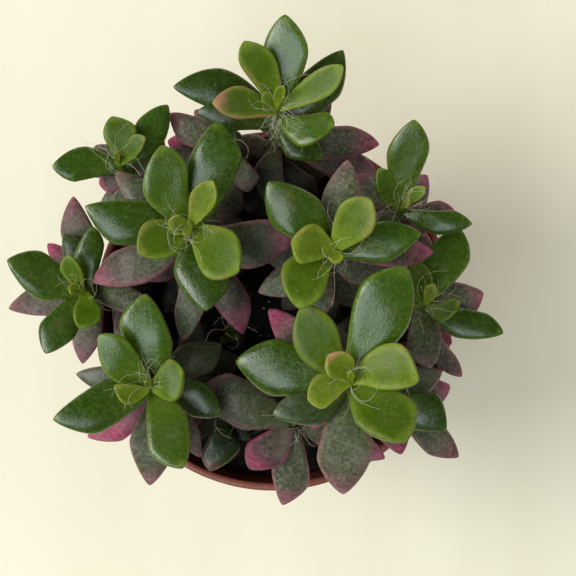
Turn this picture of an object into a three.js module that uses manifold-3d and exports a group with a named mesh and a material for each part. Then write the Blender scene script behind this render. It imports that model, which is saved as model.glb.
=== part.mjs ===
// A potted sand rose (Anacampseros rufescens), seen as it grows: a thin-walled round plastic pot filled
// with peat, and fleshy rosettes on short stems that crowd over its rim. Each leafy stem is one solid,
// leaves and all. Millimetres, +Z up, +X to the right and +Y away from the viewer. The origin is the
// centre of the pot's underside.
import * as THREE from "three";
import { mergeVertices } from "three/addons/utils/BufferGeometryUtils.js";
import Module from "manifold-3d";

const wasm = await Module();
wasm.setup();

// Driving dimensions of the pot
const POT_HEIGHT = 65;
const RIM_RADIUS = 42.5;
const BASE_RADIUS = 30;
const WALL = 1.0;
const FLOOR = 1.4;
const COLLAR_HEIGHT = 12;
const COLLAR_STEP = 2.1;
const LIP = 1.8;
const DRAIN_HOLES = 6;
const DRAIN_RADIUS = 3;
const DRAIN_CIRCLE = 19;
const POT_SEGMENTS = 32;

// Driving dimensions of the soil and of what stands in it
const SOIL_Z = 57.5;
const SOIL_RELIEF = 0.55;
const FOOT_Z = SOIL_Z + 1;
const GAP = 0.3;
const SOIL_TO_WALL = 0.4;
const STEM_DEPTH = 7;
const STEM_FOOT_RADIUS = 2.1;
const STEM_TIP_RADIUS = 1.3;
const HOLE_RADIUS = STEM_FOOT_RADIUS + 0.45;

// The leaves: how they follow each other down a stem, and how their shape follows from their age,
// which is 0 for a new leaf and 1 for the oldest. From the age MATURE on it is flat and pointed
const FIRST_SPACING = 0.4;
const SPACING_POWER = 1.4;
const GOLDEN_ANGLE = 137.5;
const LOWER_SPACING = 2.4;
const LOWER_LEAF = { reach: 13.5, rise: -2, width: 7.5, age: 0.92 };
const LOWEST_LEAF = 4;
const MATURE = 0.5;
const WIDEST_AT = { new: 0.64, old: 0.59 };
const NECK = 0.3;
const NECK_POWER = 1.4;
const SHOULDER_POWER = 1.5;
const TIP_POWER = { new: 2.6, old: 1.5 };
const TIP_BLUNTNESS = 0.78;
const THICKNESS = { least: 0.8, perWidth: 0.33, aboveEdge: 0.42 };
const BEND = { new: 18, old: -38 };
const CUP = { new: 0.34, old: -0.12 };
const ROLL = 13;
const SWAY = 0.05;
const CLEARANCE = 0.35;

// Each leafy stem: its foot on the soil [x, y], its growing tip [x, y, z], and its upper leaves from the
// tip downwards. A leaf is [azimuth in degrees, reach outwards, rise of its tip above its base, width, age],
// and may end with how far its middle sways to the left, as a share of its length.
const SHOOTS = [
  { name: "shoot_back", foot: [1, 33], tip: [1, 41, 97], leaves: [
    [65, 3.5, 6, 2.5, 0.05],
    [137, 4, 6, 3, 0.05],
    [28, 15.5, 8.5, 6, 0.15, -0.04],
    [118, 14.5, 8.5, 7.2, 0.2],
    [177, 13.5, 6.5, 7.2, 0.25, -0.05],
    [85, 19.5, 8.5, 9.5, 0.35, -0.04],
    [-13, 12.5, 5, 7.8, 0.3, -0.14],
    [165, 23, 5, 9, 0.55, -0.11],
    [46, 20.5, 4, 9.5, 0.6, -0.08],
    [-40, 12.5, 1, 7.5, 0.52],
    [171, 18, 2, 7.5, 0.6],
    [143, 17.5, -1.5, 6.5, 0.85],
    [31, 14, -1, 6.5, 0.85],
    [-5, 23, -1.5, 8.5, 0.85],
    [-16, 23.5, -2, 9.5, 0.9],
  ] },
  { name: "shoot_back_left", foot: [-25.5, 24], tip: [-33.5, 30.5, 88], leaves: [
    [88, 2, 4, 1.5, 0],
    [39, 8, 5.5, 4.2, 0.2],
    [99, 10.5, 6, 7.5, 0.25, -0.12],
    [54, 17, 6.5, 7.6, 0.4, -0.03],
    [-179, 15, 4.5, 7.8, 0.45, -0.05],
    [141, 9, -1, 6.5, 0.85],
    [-161, 7, -2.5, 6.5, 1],
    [21, 15.5, -1.5, 6.5, 0.9],
  ] },
  { name: "shoot_left_centre", foot: [-18, 9], tip: [-16.5, 15.5, 103], leaves: [
    [-114, 3, 4, 1.5, 0],
    [-178, 4.5, 5, 4.2, 0.02],
    [60, 9.5, 6.5, 5.6, 0.05, 0],
    [-150, 12, 6, 8.6, 0.2],
    [-45, 14, 6.5, 10.5, 0.2, 0],
    [110, 17, 8, 10, 0.3, 0.1],
    [76, 22.5, 5.5, 11.5, 0.5, -0.05],
    [168, 22.5, 5, 10.5, 0.5],
    [-80, 17, 3, 11.2, 0.5, 0],
    [-4, 21.5, 0, 11, 0.75, -0.06],
    [-156, 24, -2, 9.5, 0.85],
    [140, 22.5, -1, 8, 0.75],
    [-97, 22, -4, 7.5, 0.9],
    [-63, 22.5, -4.5, 8.5, 0.9],
  ] },
  { name: "shoot_left", foot: [-35, 2.5], tip: [-42, 3, 84], leaves: [
    [161, 2.5, 3, 3, 0.02],
    [108, 8, 5, 4.5, 0.15],
    [-90, 8.5, 4, 6.5, 0.25, 0.15],
    [158, 17.5, 5.5, 10, 0.45],
    [-121, 16, 4.5, 8, 0.45],
    [85, 14.5, 4.5, 6.5, 0.45],
    [115, 15, 2, 6.5, 0.65],
    [-4, 12, 0, 7, 0.8],
    [-171, 20.5, -2.5, 7.5, 0.9],
    [105, 23.5, -1, 8, 0.85],
    [137, 18, -4.5, 6, 1],
    [-108, 16.5, -3.5, 6.5, 0.95],
  ] },
  { name: "shoot_front_left", foot: [-20, -14], tip: [-26, -18, 92], leaves: [
    [102, 1.5, 4, 1.5, 0],
    [178, 7, 5, 4.5, 0.05, 0.2],
    [25, 8, 4.5, 8.4, 0.25, -0.1],
    [134, 15, 7, 8.4, 0.3, 0.04],
    [-68, 18.5, 6, 10, 0.35],
    [94, 19.5, 6.5, 11, 0.4],
    [-161, 22.5, 5, 10.4, 0.5, 0.03],
    [-25, 15.5, 1.5, 8, 0.6],
    [33, 16, 0, 8.5, 0.75],
    [174, 19, -1, 6.5, 0.75],
    [-97, 23, -1.5, 10, 0.8],
    [123, 19.5, -2, 7, 0.85],
    [-145, 22.5, -6, 8.5, 1],
    [-68, 19, -4, 5.5, 0.95],
    [17, 16.5, -2.5, 8, 0.85],
  ] },
  { name: "shoot_centre_right", foot: [10, 9], tip: [12.5, 10, 104], leaves: [
    [-74, 3, 4, 3, 0],
    [171, 8.5, 6, 8.4, 0.08, 0],
    [53, 12, 8, 8.4, 0.1, 0],
    [-121, 14, 6.5, 10.2, 0.2, -0.13],
    [134, 19, 5.5, 10.8, 0.45, 0],
    [11, 18.5, 4, 8.6, 0.5, 0],
    [80, 20, 0, 7.5, 0.8],
    [2, 22, -4, 7, 0.95],
    [-153, 17, -2.5, 7, 0.9],
  ] },
  { name: "shoot_right_back", foot: [24.5, 18.5], tip: [28, 20.5, 91], leaves: [
    [45, 1.5, 3, 1.5, 0],
    [42, 6, 4, 3, 0.1],
    [126, 9.5, 6, 5.2, 0.3],
    [84, 17.5, 11, 8.6, 0.35, 0.02],
    [-13, 15.5, 3.5, 5.6, 0.5, -0.06],
    [-139, 7, -1, 7, 0.8],
  ] },
  { name: "shoot_right", foot: [30, -0.5], tip: [33, 0, 89], leaves: [
    [73, 4, 5, 3, 0.03],
    [-1, 7, 4, 4.5, 0.2, -0.2],
    [105, 9, 4.5, 6.5, 0.3],
    [65, 18.5, 2, 10, 0.4],
    [-21, 18, 3.5, 7.2, 0.5],
    [11, 14, -1.5, 8.5, 0.85],
    [-81, 14, -2, 8.5, 0.8],
    [-56, 19, -4.5, 5.2, 0.9, -0.08],
  ] },
  { name: "shoot_front_right", foot: [13, -14], tip: [16, -16.5, 107], leaves: [
    [99, 2, 4, 1.5, 0],
    [134, 7, 5, 6.2, 0.08],
    [-157, 9.5, 6.5, 6.5, 0.06],
    [0, 13, 7, 9.8, 0.1, 0.2],
    [-48, 16, 7.5, 11.4, 0.2, 0.03],
    [64, 25, 7.5, 12.6, 0.4, 0.02],
    [122, 18, 6.5, 9.8, 0.24, 0.07],
    [171, 23.5, 1, 12, 0.5, 0],
    [-155, 17, 1, 8, 0.65, 0.12],
    [-92, 24, -1.5, 11.8, 0.8, 0],
    [138, 22, -5.5, 7.5, 1],
  ] },
  { name: "shoot_low_front", foot: [3, -24], tip: [4.5, -26, 82], leaves: [
    [76, 2, 3, 2, 0.3],
    [163, 22.5, -0.5, 11.6, 0.8],
    [-134, 14, 0, 9, 1],
    [-97, 19, -4, 9, 0.85, 0.05],
    [-22, 22.5, -4.5, 8, 0.95],
    [-138, 6, 0.5, 6, 0.7],
  ] },
  { name: "shoot_low_right", foot: [23, -17], tip: [25.5, -21.5, 84], leaves: [
    [80, 1.5, 3, 2, 0.4],
    [-25, 13.5, 2, 9.5, 0.6, 0.1],
    [28, 14, -0.5, 7.5, 0.75],
    [-38, 20, -1.5, 7.5, 0.8],
    [12, 15.5, -4.5, 7, 1],
  ] },
  { name: "shoot_low_back", foot: [-9, 27], tip: [-9, 34.5, 82], leaves: [
    [93, 1.5, 3, 2, 0.4],
    [109, 5.5, 1, 6.5, 0.65],
    [149, 16.5, -2.5, 7.5, 0.9],
    [-68, 9, -1, 6.5, 0.9],
    [164, 16, -4.5, 7.5, 1],
    [127, 15.5, -2.5, 7, 0.85],
  ] },
  { name: "shoot_low_left_front", foot: [-12, -24], tip: [-13, -24, 70], leaves: [
    [62, 2, 3, 2, 0.3],
    [-96, 13.5, 1.5, 8.4, 0.6, 0.15],
    [-40, 10, 0.5, 4.5, 0.7],
    [-139, 10, 0, 5.5, 0.8],
  ] },
  { name: "shoot_low_centre", foot: [-9, -6], tip: [-10, -6, 69], leaves: [
    [99, 2, 3, 2.5, 0.1],
    [-21, 2.5, 2, 2, 0.2],
    [-138, 3, 2, 2, 0.2],
  ] },
];

const DEGREE = Math.PI / 180;
const clamp = (x, low, high) => Math.min(high, Math.max(low, x));
const mix = (a, b, t) => a + (b - a) * t;

// A closed geometry as a solid that can be joined and cut, and back again
function solidFrom(geometry) {
  const bare = new THREE.BufferGeometry();
  bare.setAttribute("position", geometry.getAttribute("position"));
  bare.setIndex(geometry.index);
  const merged = mergeVertices(bare, 1e-4);
  return new wasm.Manifold(new wasm.Mesh({
    numProp: 3,
    vertProperties: new Float32Array(merged.attributes.position.array),
    triVerts: new Uint32Array(merged.index.array),
  }));
}

function geometryFrom(solid) {
  const mesh = solid.getMesh();
  const geometry = new THREE.BufferGeometry();
  geometry.setAttribute("position", new THREE.BufferAttribute(new Float32Array(mesh.vertProperties), 3));
  geometry.setIndex(new THREE.BufferAttribute(new Uint32Array(mesh.triVerts), 1));
  geometry.computeVertexNormals();
  return geometry;
}

// A closed skin over rings of equally many points, with a point at each end: first, rings, last
function loft(first, rings, last) {
  const sides = rings[0].length;
  const points = [first, ...rings.flat(), last];
  const faces = [];
  const at = (ring, k) => 1 + ring * sides + (k % sides);
  for (let k = 0; k < sides; k++) {
    faces.push(0, at(0, k + 1), at(0, k));
    faces.push(points.length - 1, at(rings.length - 1, k), at(rings.length - 1, k + 1));
  }
  for (let ring = 0; ring + 1 < rings.length; ring++) {
    for (let k = 0; k < sides; k++) {
      faces.push(at(ring, k), at(ring, k + 1), at(ring + 1, k + 1));
      faces.push(at(ring, k), at(ring + 1, k + 1), at(ring + 1, k));
    }
  }
  const geometry = new THREE.BufferGeometry();
  geometry.setAttribute("position", new THREE.Float32BufferAttribute(points.flatMap((p) => p.toArray()), 3));
  geometry.setIndex(faces);
  return geometry;
}

// The pot: a tapered wall, a collar that steps out near the top, a rounded lip, and drain holes in the floor

const COLLAR_Z = POT_HEIGHT - COLLAR_HEIGHT;

// The inner face's radius at a height
function innerRadius(z) {
  const underCollar = RIM_RADIUS - COLLAR_STEP - 2 * WALL;
  const inLip = RIM_RADIUS - LIP;
  if (z > COLLAR_Z) return mix(inLip - 0.9, inLip, (z - COLLAR_Z) / COLLAR_HEIGHT);
  return mix(BASE_RADIUS - WALL, underCollar, z / COLLAR_Z);
}

function potSolid() {
  const chamfer = 0.5;
  const profile = [
    [0, 0],
    [BASE_RADIUS - 2 * chamfer, 0],
    [BASE_RADIUS, 2 * chamfer],
    [innerRadius(COLLAR_Z) + WALL, COLLAR_Z - chamfer],
    [RIM_RADIUS - 2 * chamfer, COLLAR_Z],
    [RIM_RADIUS, POT_HEIGHT - 2 * chamfer],
    [RIM_RADIUS - chamfer, POT_HEIGHT],
    [RIM_RADIUS - LIP + chamfer, POT_HEIGHT],
    [RIM_RADIUS - LIP, POT_HEIGHT - chamfer],
    [innerRadius(COLLAR_Z + WALL), COLLAR_Z + WALL],
    [innerRadius(COLLAR_Z - chamfer), COLLAR_Z - chamfer],
    [innerRadius(FLOOR), FLOOR],
    [0, FLOOR],
  ].map(([r, z]) => new THREE.Vector2(r, z));
  let pot = solidFrom(new THREE.LatheGeometry(profile, POT_SEGMENTS).rotateX(Math.PI / 2));
  for (let k = 0; k < DRAIN_HOLES; k++) {
    const angle = (k / DRAIN_HOLES) * 2 * Math.PI;
    const drill = new THREE.CylinderGeometry(DRAIN_RADIUS, DRAIN_RADIUS, 4 * FLOOR, 10).rotateX(Math.PI / 2);
    drill.translate(DRAIN_CIRCLE * Math.cos(angle), DRAIN_CIRCLE * Math.sin(angle), 0);
    pot = pot.subtract(solidFrom(drill));
  }
  return pot;
}

// The soil fills the pot to just under the collar's lip, lies uneven, and has a hole for each stem

const soilRelief = (x, y) =>
  SOIL_RELIEF * (Math.sin(0.55 * x + 1) * Math.cos(0.48 * y) + 0.6 * Math.sin(1.1 * x - 0.9 * y));

function soilSolid() {
  const bottom = FLOOR + GAP;
  const side = (z) => [innerRadius(z) - SOIL_TO_WALL, z];
  const profile = [[0, bottom], side(bottom), side(COLLAR_Z - 2 * GAP)];
  profile.push([innerRadius(COLLAR_Z + WALL) - SOIL_TO_WALL, COLLAR_Z + WALL + 2 * GAP]);
  profile.push(side(SOIL_Z - 0.8));
  const edge = innerRadius(SOIL_Z) - SOIL_TO_WALL - 1;
  for (const share of [1, 0.75, 0.5, 0.25, 0]) profile.push([share * edge, SOIL_Z]);
  const points = profile.map(([r, z]) => new THREE.Vector2(r, z));
  const geometry = new THREE.LatheGeometry(points, POT_SEGMENTS).rotateX(Math.PI / 2);
  const position = geometry.getAttribute("position");
  for (let k = 0; k < position.count; k++) {
    if (position.getZ(k) < SOIL_Z - 0.1) continue;
    position.setZ(k, SOIL_Z + soilRelief(position.getX(k), position.getY(k)));
  }
  let soil = solidFrom(geometry);
  for (const shoot of SHOOTS) {
    const depth = 2 * (STEM_DEPTH + GAP);
    const drill = new THREE.CylinderGeometry(HOLE_RADIUS, HOLE_RADIUS, depth, 8).rotateX(Math.PI / 2);
    drill.translate(shoot.foot[0], shoot.foot[1], SOIL_Z);
    soil = soil.subtract(solidFrom(drill));
  }
  return soil;
}

// A stem leaves the soil leaning and turns up towards the light
function stemCurve(shoot) {
  const foot = new THREE.Vector3(shoot.foot[0], shoot.foot[1], FOOT_Z);
  const tip = new THREE.Vector3(...shoot.tip);
  const way = tip.clone().sub(foot);
  const turn = foot.clone().add(new THREE.Vector3(0.6 * way.x, 0.6 * way.y, 0.4 * way.z));
  return { curve: new THREE.QuadraticBezierCurve3(foot, turn, tip), length: way.length() };
}

function stemSolid(shoot) {
  const { curve } = stemCurve(shoot);
  const sides = 7;
  const steps = 5;
  const ring = (centre, radius) =>
    Array.from({ length: sides }, (_, k) => {
      const angle = (k / sides) * 2 * Math.PI;
      return new THREE.Vector3(radius * Math.cos(angle), radius * Math.sin(angle), 0).add(centre);
    });
  const buried = new THREE.Vector3(shoot.foot[0], shoot.foot[1], SOIL_Z - STEM_DEPTH);
  const rings = [ring(buried, STEM_FOOT_RADIUS), ring(curve.getPoint(0), STEM_FOOT_RADIUS)];
  for (let k = 1; k <= steps; k++) {
    rings.push(ring(curve.getPoint(k / steps), mix(STEM_FOOT_RADIUS, STEM_TIP_RADIUS, k / steps)));
  }
  const top = curve.getPoint(1).add(new THREE.Vector3(0, 0, 0.8));
  return solidFrom(loft(buried.clone(), rings, top));
}

// No two leaves are alike: a value from -1 to 1 that follows from a leaf's own size
const variety = (leaf, k) => Math.sin((5 + 2 * k) * leaf.reach + 3 * leaf.width + k);

// The middle line of a leaf: an arc from its base to its tip, curling in while young and down when old,
// swaying a little to one side and rolled a little about itself
function leafFrame(leaf, u) {
  const chord = Math.hypot(leaf.reach, leaf.rise);
  const bend = mix(BEND.new, BEND.old, leaf.age) * DEGREE || 0.001;
  const radius = chord / (2 * Math.sin(bend / 2));
  const lean = Math.atan2(leaf.rise, leaf.reach);
  const pitch = lean + bend * (u - 0.5);
  const out = radius * (Math.sin(pitch) - Math.sin(lean - bend / 2));
  const up = radius * (Math.cos(lean - bend / 2) - Math.cos(pitch));
  const azimuth = leaf.azimuth * DEGREE;
  const outward = new THREE.Vector3(Math.cos(azimuth), Math.sin(azimuth), 0);
  const across = new THREE.Vector3(-Math.sin(azimuth), Math.cos(azimuth), 0);
  const upward = outward.clone().multiplyScalar(-Math.sin(pitch)).setZ(Math.cos(pitch));
  const point = leaf.base.clone().addScaledVector(outward, out);
  point.z += up;
  const sway = leaf.sway ?? SWAY * variety(leaf, 1);
  point.addScaledVector(across, 4 * u * (1 - u) * sway * chord);
  const roll = ROLL * DEGREE * u * variety(leaf, 2);
  const side = across.clone().multiplyScalar(Math.cos(roll)).addScaledVector(upward, Math.sin(roll));
  const normal = upward.multiplyScalar(Math.cos(roll)).addScaledVector(across, -Math.sin(roll));
  return { point, side, normal };
}

const maturity = (leaf) => clamp(leaf.age / MATURE, 0, 1);
const widestAt = (leaf) => mix(WIDEST_AT.new, WIDEST_AT.old, maturity(leaf)) + 0.05 * variety(leaf, 3);

// Half the width: a narrow neck, a soft corner where it is widest, then a tip, bluntest while it is young
function halfWidth(leaf, u) {
  const widest = widestAt(leaf);
  if (u < widest) {
    return 0.5 * leaf.width * mix(NECK, 1, (1 - (1 - u / widest) ** SHOULDER_POWER) ** NECK_POWER);
  }
  const t = (u - widest) / (1 - widest);
  return 0.5 * leaf.width * (1 - t ** mix(TIP_POWER.new, TIP_POWER.old, maturity(leaf))) ** TIP_BLUNTNESS;
}

// The thickness in the middle of the blade
function thickness(leaf, u) {
  const full = THICKNESS.least + THICKNESS.perWidth * leaf.width;
  return full * mix(0.75, 1, Math.sin(Math.PI * u)) * Math.sqrt(1 - u ** 4);
}

// How far the edges stand over the middle line: cupped while young, arched when old
function cupHeight(leaf, u) {
  return mix(CUP.new, CUP.old, maturity(leaf)) * halfWidth(leaf, u);
}

// A point of the skin: v runs round the section from one edge over the upper face
function leafPoint(leaf, u, v) {
  const { point, side, normal } = leafFrame(leaf, u);
  const half = halfWidth(leaf, u);
  const share = Math.sin(v) > 0 ? THICKNESS.aboveEdge : 1 - THICKNESS.aboveEdge;
  const lift = share * thickness(leaf, u) * Math.sin(v) + cupHeight(leaf, u) * Math.cos(v) ** 2;
  point.addScaledVector(side, half * Math.cos(v));
  point.addScaledVector(normal, lift);
  return point;
}

function leafSolid(leaf) {
  const widest = widestAt(leaf);
  const towardsTip = (share) => mix(widest, 1, share);
  let stations = [0.25 * widest, 0.65 * widest, widest, towardsTip(0.65)];
  if (leaf.age > 0.8) stations = [0.4 * widest, widest, towardsTip(0.6)];
  if (leaf.width < 4) stations = [0.3 * widest, towardsTip(0.3)];
  if (leaf.width > 8.5) stations = [0.25 * widest, 0.65 * widest, widest, towardsTip(0.45), towardsTip(0.8)];
  const section = [0, 90, 180, 236, 304].map((angle) => angle * DEGREE);
  const rings = stations.map((u) => section.map((v) => leafPoint(leaf, u, v)));
  return solidFrom(loft(leafFrame(leaf, 0).point, rings, leafFrame(leaf, 1).point));
}

// Round pads over a leaf's blade, which show where it would meet its neighbours
function padsOf(leaf, owner) {
  const pads = [];
  for (const u of [0.3, 0.42, 0.54, 0.66, 0.78, 0.9, 1]) {
    const { point, side, normal } = leafFrame(leaf, u);
    const half = halfWidth(leaf, u);
    for (const across of [-0.85, -0.45, 0, 0.45, 0.85]) {
      const centre = point.clone().addScaledVector(side, half * across);
      centre.addScaledVector(normal, cupHeight(leaf, u) * across * across - 0.08 * thickness(leaf, u));
      const radius = 0.5 * thickness(leaf, u) * Math.sqrt(1 - 0.8 * across * across) + 0.2;
      pads.push({ owner, u, centre, radius });
    }
  }
  return pads;
}

function padsOfStem(shoot) {
  const { curve } = stemCurve(shoot);
  return Array.from({ length: 21 }, (_, k) =>
    ({ owner: shoot.name, u: 0, centre: curve.getPoint(k / 20), radius: STEM_FOOT_RADIUS }));
}

function isClear(pads, grown) {
  for (const pad of pads) {
    const fromAxis = Math.hypot(pad.centre.x, pad.centre.y);
    const low = pad.centre.z - pad.radius;
    if (fromAxis < RIM_RADIUS - 3 && low < SOIL_Z + 1.3) return false;
    if (fromAxis >= RIM_RADIUS - 3 && fromAxis < RIM_RADIUS + 2 && low < POT_HEIGHT + 0.4) return false;
    for (const other of grown) {
      if (other.owner === pad.owner && (pad.u < 0.5 || other.u < 0.5)) continue;
      const room = pad.radius + other.radius + (other.owner === pad.owner ? 0 : CLEARANCE);
      if (pad.centre.distanceToSquared(other.centre) < room * room) return false;
    }
  }
  return true;
}

// A leaf grows at the nearest angle at which it is clear of those already there
function settle(leaf, owner, grown) {
  for (const turn of [0, 7, -7, 14, -14]) {
    for (const lift of [0, 1, -1, 2, -2, 3, -3, 4, -4, 5, -5, 6, -6, 7, -7]) {
      const tried = { ...leaf, azimuth: leaf.azimuth + turn, rise: leaf.rise + lift };
      const pads = padsOf(tried, owner);
      if (isClear(pads, grown)) return { leaf: tried, pads };
    }
  }
  return null;
}

// Upper leaves as listed, then lower ones by the golden angle down to the soil
function leavesOf(shoot) {
  const { curve, length } = stemCurve(shoot);
  const baseAt = (drop) => curve.getPoint(clamp(1 - drop / length, 0, 1));
  const leaves = shoot.leaves.map(([azimuth, reach, rise, width, age, sway], k) =>
    ({ azimuth, reach, rise, width, age, sway, base: baseAt(FIRST_SPACING * k ** SPACING_POWER) }));
  let drop = FIRST_SPACING * shoot.leaves.length ** SPACING_POWER + 1;
  let azimuth = shoot.leaves.at(-1)[0];
  while (length > 20 && baseAt(drop).z > SOIL_Z + LOWEST_LEAF) {
    azimuth += GOLDEN_ANGLE;
    leaves.push({ ...LOWER_LEAF, azimuth, base: baseAt(drop), lower: true });
    drop += LOWER_SPACING;
  }
  return leaves;
}

function growAll() {
  const grown = SHOOTS.flatMap(padsOfStem);
  const all = SHOOTS.flatMap((shoot) => leavesOf(shoot).map((leaf) => ({ leaf, owner: shoot.name })));
  const byHeight = (a, b) => b.leaf.base.z - a.leaf.base.z;
  const listed = all.filter((entry) => !entry.leaf.lower).sort(byHeight);
  const lower = all.filter((entry) => entry.leaf.lower).sort(byHeight);
  const kept = new Map(SHOOTS.map((shoot) => [shoot.name, []]));
  for (const { leaf, owner } of [...listed, ...lower]) {
    const settled = settle(leaf, owner, grown);
    if (!settled) continue;
    kept.get(owner).push(settled.leaf);
    grown.push(...settled.pads);
  }
  return kept;
}

// The sub-parts, each with its own material

const material = (name, colour, roughness) =>
  new THREE.MeshStandardMaterial({ name, color: colour, roughness, metalness: 0 });
const potPlastic = material("pot_plastic", 0x9a5a48, 0.45);
const peat = material("peat", 0x1d1714, 0.95);
const leafSkin = material("leaf_skin", 0x4b6a2c, 0.4);

const group = new THREE.Group();
function add(name, solid, skin) {
  const mesh = new THREE.Mesh(geometryFrom(solid), skin);
  mesh.name = name;
  group.add(mesh);
}

add("pot", potSolid(), potPlastic);
add("soil", soilSolid(), peat);
const kept = growAll();
for (const shoot of SHOOTS) {
  const fused = kept.get(shoot.name).reduce((body, leaf) => body.add(leafSolid(leaf)), stemSolid(shoot));
  add(shoot.name, fused, leafSkin);
}

export default group;
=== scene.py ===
"""A potted sand rose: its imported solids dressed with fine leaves, stems, hairs, peat and a moulded pot."""

import math
import random
from dataclasses import dataclass, replace

import bmesh
import bpy
import numpy as np
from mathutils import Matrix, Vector, noise


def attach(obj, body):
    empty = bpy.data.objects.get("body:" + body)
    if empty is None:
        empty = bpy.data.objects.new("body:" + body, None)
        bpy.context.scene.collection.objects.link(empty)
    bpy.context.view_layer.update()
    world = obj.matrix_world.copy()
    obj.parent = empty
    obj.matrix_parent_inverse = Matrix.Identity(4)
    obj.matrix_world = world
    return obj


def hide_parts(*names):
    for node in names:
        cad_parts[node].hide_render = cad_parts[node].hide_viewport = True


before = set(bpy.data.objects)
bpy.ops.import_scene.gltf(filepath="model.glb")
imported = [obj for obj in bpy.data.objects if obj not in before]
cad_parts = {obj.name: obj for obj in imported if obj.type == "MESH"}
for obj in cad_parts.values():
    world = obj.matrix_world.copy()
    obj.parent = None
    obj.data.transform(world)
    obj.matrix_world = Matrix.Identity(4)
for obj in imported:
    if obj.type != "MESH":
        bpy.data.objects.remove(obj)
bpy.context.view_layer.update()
MM = 0.001

# The camera looks down on the plant as the photograph does: how high it is over the rim, how far it tilts
# towards the viewer, the point in the picture's middle in millimetres, and the size of one pixel at the rim
CAMERA_DISTANCE = 280
CAMERA_TILT = math.radians(4)
CAMERA_AIM = Vector((3.3, 5.0, 65.0))
PIXEL_AT_RIM = 0.236
FRAME_PIXELS = 576
SENSOR_WIDTH = 36

# The pot, in millimetres
POT_HEIGHT = 65
RIM_RADIUS = 42.5
BASE_RADIUS = 30
WALL = 1.0
FLOOR = 1.4
COLLAR_HEIGHT = 12
COLLAR_STEP = 2.1
LIP = 1.8
COLLAR_Z = POT_HEIGHT - COLLAR_HEIGHT
DRAIN_HOLES = 6
DRAIN_RADIUS = 3
DRAIN_CIRCLE = 19

# The soil and the stems, in millimetres
SOIL_Z = 57.5
SOIL_RELIEF = 0.55
SOIL_TO_WALL = 0.4
FOOT_Z = SOIL_Z + 1
GAP = 0.3
STEM_DEPTH = 7
STEM_FOOT_RADIUS = 2.1
STEM_TIP_RADIUS = 1.3

# How the leaves follow each other down a stem, and how their shape follows from their age, which is 0 for a
# new leaf and 1 for the oldest. From the age MATURE on it is flat and pointed. Pairs are for new and old
FIRST_SPACING = 0.4
SPACING_POWER = 1.4
GOLDEN_ANGLE = 137.5
LOWER_SPACING = 2.4
LOWER_LEAF = dict(reach=13.5, rise=-2, width=7.5, age=0.92)
LOWEST_LEAF = 4
MATURE = 0.5
WIDEST_AT = (0.64, 0.59)
NECK = 0.3
NECK_POWER = 1.4
SHOULDER_POWER = 1.5
TIP_POWER = (2.6, 1.5)
TIP_BLUNTNESS = 0.78
THICKNESS_LEAST = 0.8
THICKNESS_PER_WIDTH = 0.33
ABOVE_EDGE = 0.42
BEND = (18, -38)
CUP = (0.34, -0.12)
ROLL = math.radians(13)
SWAY = 0.05
CLEARANCE = 0.35

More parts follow.
